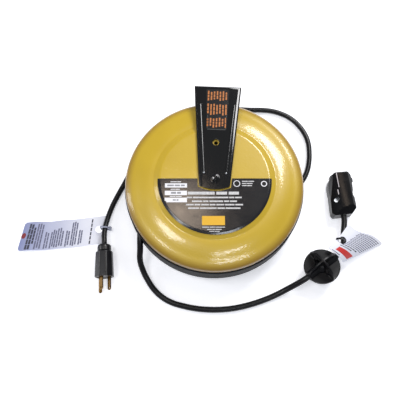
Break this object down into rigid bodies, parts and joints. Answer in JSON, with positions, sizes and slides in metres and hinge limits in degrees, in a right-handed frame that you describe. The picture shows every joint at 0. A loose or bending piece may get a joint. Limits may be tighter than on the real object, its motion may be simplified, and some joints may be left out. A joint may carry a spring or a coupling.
{
  "type": "extension cord reel",
  "caption": "Retractable extension cord reel in a round steel housing with a swivelling ceiling bracket, plug-in feeder cord, ball stop and outlet on the drawn-out cord.",
  "frame": {"origin": "on the reel's axis at the flat face of the rear terminal cover, which the reel rests on", "axes": "+Z along the reel's axis, out of the front cover; the bracket's ceiling plate lies towards +Y, 2.4 degrees clockwise of it"},
  "size_m": [0.5141, 0.3094, 0.0844],
  "materials": {
    "yellow_enamel": "gloss stove enamel on drawn steel",
    "black_enamel": "semi-gloss black enamel on steel",
    "zinc_steel": "zinc plated",
    "spring_steel": "blued strip",
    "sintered_bronze": "oil-filled sintered bronze",
    "brass": "plain drawn brass",
    "carbon": "carbon brush",
    "phenolic": "laminated phenolic board",
    "moulded_black": "moulded, fine satin",
    "glossy_black": "moulded, gloss",
    "black_vinyl": "moulded soft vinyl",
    "cord_jacket": "extruded jacket, soft sheen",
    "nylon": "natural nylon",
    "white_tie": "natural nylon tie",
    "black_tie": "black nylon tie",
    "white_vinyl": "soft white vinyl sheet",
    "black_label": "screen-printed film label"
  },
  "bodies": {
    "housing": {"front_cover": "yellow_enamel", "rear_cover": "black_enamel", "bracket_bolt": "black_enamel", "main_shaft": "zinc_steel", "shaft_screws": "zinc_steel", "retaining_collar": "zinc_steel", "spring_arbor": "zinc_steel", "terminal_cover_screws": "zinc_steel", "pawl_pin": "zinc_steel", "brush_springs": "zinc_steel", "outlet_screws": "zinc_steel", "stop_ball_screws": "zinc_steel", "terminal_leads": "brass", "terminal_screws": "brass", "plug_blades": "brass", "plug_ground_pin": "brass", "outlet_contacts": "brass", "brushes": "carbon", "brush_holder": "phenolic", "terminal_cover": "moulded_black", "cord_guide": "moulded_black", "outlet_face": "moulded_black", "outlet_body_upper": "glossy_black", "outlet_body_lower": "glossy_black", "feeder_strain_relief": "black_vinyl", "plug_body": "black_vinyl", "stop_ball_upper": "black_vinyl", "stop_ball_lower": "black_vinyl", "outlet_cord_grip": "black_vinyl", "feeder_cord": "cord_jacket", "outlet_cord": "cord_jacket", "thrust_washer": "nylon", "bracket_washer": "nylon", "terminal_block": "nylon", "feeder_tag_tie": "white_tie", "outlet_tag_tie": "black_tie", "feeder_tag": "white_vinyl", "outlet_tag": "white_vinyl", "main_label": "black_label"},
    "bracket": {"bracket": "black_enamel", "bracket_label": "black_label"},
    "spool": {"spool_hub": "moulded_black", "hub_cover": "moulded_black", "rear_flange": "zinc_steel", "front_flange": "zinc_steel", "flange_rivets": "zinc_steel", "rear_bushing": "sintered_bronze", "front_bushing": "sintered_bronze", "power_spring": "spring_steel", "slip_ring_carrier": "nylon", "slip_rings": "brass", "ratchet_ring": "zinc_steel", "wound_cord": "cord_jacket"},
    "pawl": {"pawl": "zinc_steel", "pawl_spring": "zinc_steel"}
  },
  "joints": [
    {"name": "bracket_swivel", "type": "hinge", "parent": "housing", "child": "bracket", "pos_m": [0, 0, 0.078], "axis": [0, 0, 1], "range_deg": [-200, 110]},
    {"name": "spool_spin", "type": "hinge", "parent": "housing", "child": "spool", "pos_m": [0, 0, 0.047], "axis": [0, 0, 1], "continuous": true},
    {"name": "pawl_pivot", "type": "hinge", "parent": "housing", "child": "pawl", "pos_m": [0.01829, -0.09567, 0.029], "axis": [0, 0, -1], "range_deg": [0, 20], "stiffness_Nm_per_rad": 0.01, "springref_deg": -11.46}
  ]
}
